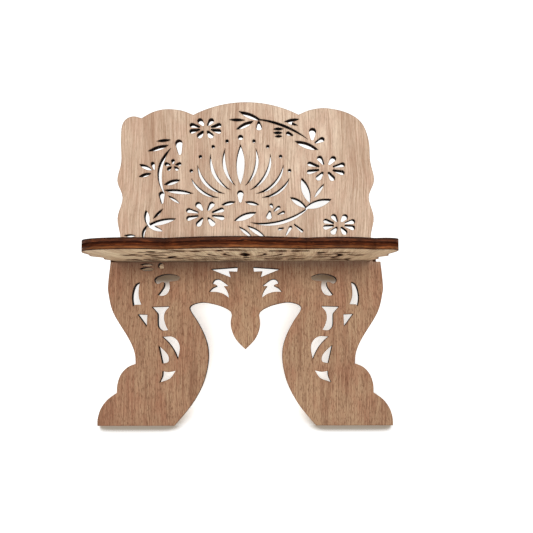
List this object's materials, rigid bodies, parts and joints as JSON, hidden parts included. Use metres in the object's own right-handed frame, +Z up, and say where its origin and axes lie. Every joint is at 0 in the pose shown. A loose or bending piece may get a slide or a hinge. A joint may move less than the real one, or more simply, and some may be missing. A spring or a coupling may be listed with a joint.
{
  "type": "book stand",
  "caption": "Small wooden cradle stand for an open prayer book: identical pierced plywood panels slotted together in an X, with scrolled legs and lobed reading boards.",
  "frame": {"origin": "on the table, under the middle of the stand", "axes": "+Z up; +X to the right along the crossing line of the two panels; -Y to the front, where a reader sits"},
  "size_m": [0.1594, 0.1366, 0.1264],
  "materials": {
    "face_wood": "bare, fine straight grain",
    "core_wood": "bare, laser-burnt edges",
    "back_wood": "bare, pale"
  },
  "bodies": {
    "rear_panel": {"rear_panel_face_ply": "face_wood", "rear_panel_core_ply": "core_wood", "rear_panel_back_ply": "back_wood"},
    "front_panel": {"front_panel_face_ply": "face_wood", "front_panel_core_ply": "core_wood", "front_panel_back_ply": "back_wood"}
  },
  "joints": [
    {"name": "slot_slide", "type": "slide", "parent": "rear_panel", "child": "front_panel", "axis": [-1, 0, 0], "range_m": [0, 0.0734]}
  ]
}
